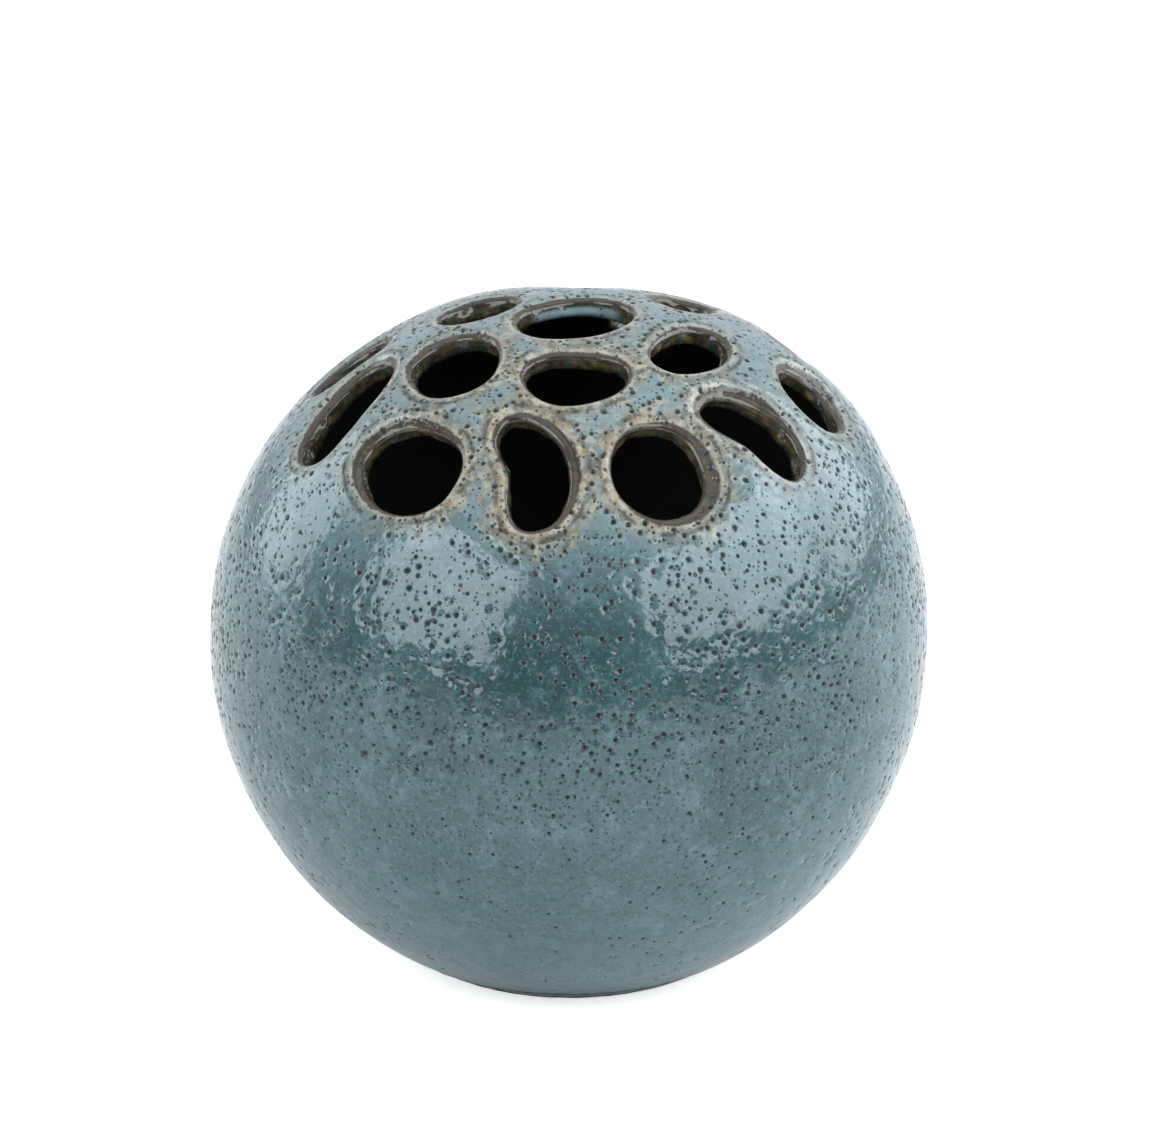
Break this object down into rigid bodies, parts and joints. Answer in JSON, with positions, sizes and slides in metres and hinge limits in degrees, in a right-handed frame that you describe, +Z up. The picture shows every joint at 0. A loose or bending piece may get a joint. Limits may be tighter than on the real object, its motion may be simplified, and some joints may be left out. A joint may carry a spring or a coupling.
{
  "type": "flower frog",
  "caption": "Hollow glazed ceramic ball on a small foot, with hand-cut holes in its upper half that each hold a flower stem over the water inside.",
  "frame": {"origin": "middle of the foot, on the table the ball stands on", "axes": "+Z up through the crown hole; -Y is the front, +X to the right seen from the front"},
  "size_m": [0.15, 0.15, 0.1395],
  "materials": {
    "teal_glaze": "glossy teal reactive glaze, breaking to cream and ochre at the hole rims, with open pinholes",
    "bare_stoneware": "bare fired stoneware, matt"
  },
  "bodies": {
    "root": {"pierced_dome": "teal_glaze", "lower_bowl": "teal_glaze", "foot_ring": "bare_stoneware"}
  },
  "joints": []
}
